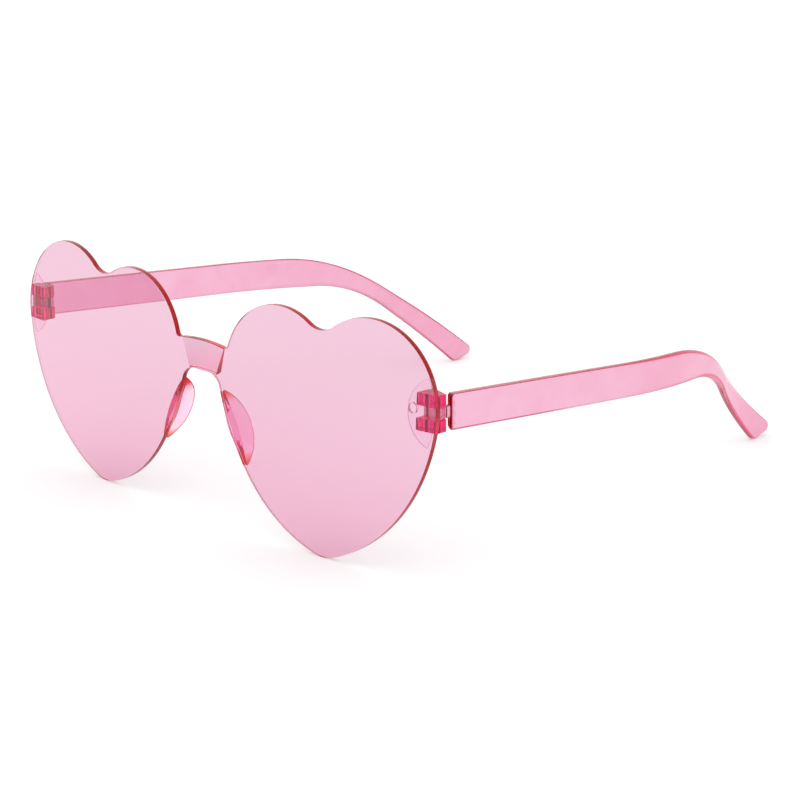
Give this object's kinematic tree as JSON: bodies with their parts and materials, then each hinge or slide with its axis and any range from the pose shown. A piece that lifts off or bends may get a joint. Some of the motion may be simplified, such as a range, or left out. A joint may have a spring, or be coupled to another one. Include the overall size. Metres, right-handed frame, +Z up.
{
  "type": "heart shaped sunglasses",
  "caption": "Rimless sunglasses with heart-shaped lenses cut from one tinted clear sheet, bonded nose pads and folding temples that curve down behind the ears.",
  "frame": {"origin": "on the surface the open glasses stand on, under the middle of their outline", "axes": "+X to the wearer's left, +Y back along the temples, +Z up"},
  "size_m": [0.144, 0.1476, 0.0578],
  "materials": {
    "tinted_polycarbonate": "polished, see-through pink tint",
    "screw_steel": "turned"
  },
  "bodies": {
    "front": {"front_lens": "tinted_polycarbonate", "left_nose_pad": "tinted_polycarbonate", "right_nose_pad": "tinted_polycarbonate", "left_hinge_base": "tinted_polycarbonate", "right_hinge_base": "tinted_polycarbonate", "left_hinge_screw": "screw_steel", "right_hinge_screw": "screw_steel"},
    "left_temple_arm": {"left_temple": "tinted_polycarbonate"},
    "right_temple_arm": {"right_temple": "tinted_polycarbonate"}
  },
  "joints": [
    {"name": "left_hinge", "type": "hinge", "parent": "front", "child": "left_temple_arm", "pos_m": [0.0675, -0.06551, 0.03945], "axis": [0, 0, 1], "range_deg": [0, 85]},
    {"name": "right_hinge", "type": "hinge", "parent": "front", "child": "right_temple_arm", "pos_m": [-0.0675, -0.06551, 0.03945], "axis": [0, 0, -1], "range_deg": [0, 81]}
  ]
}
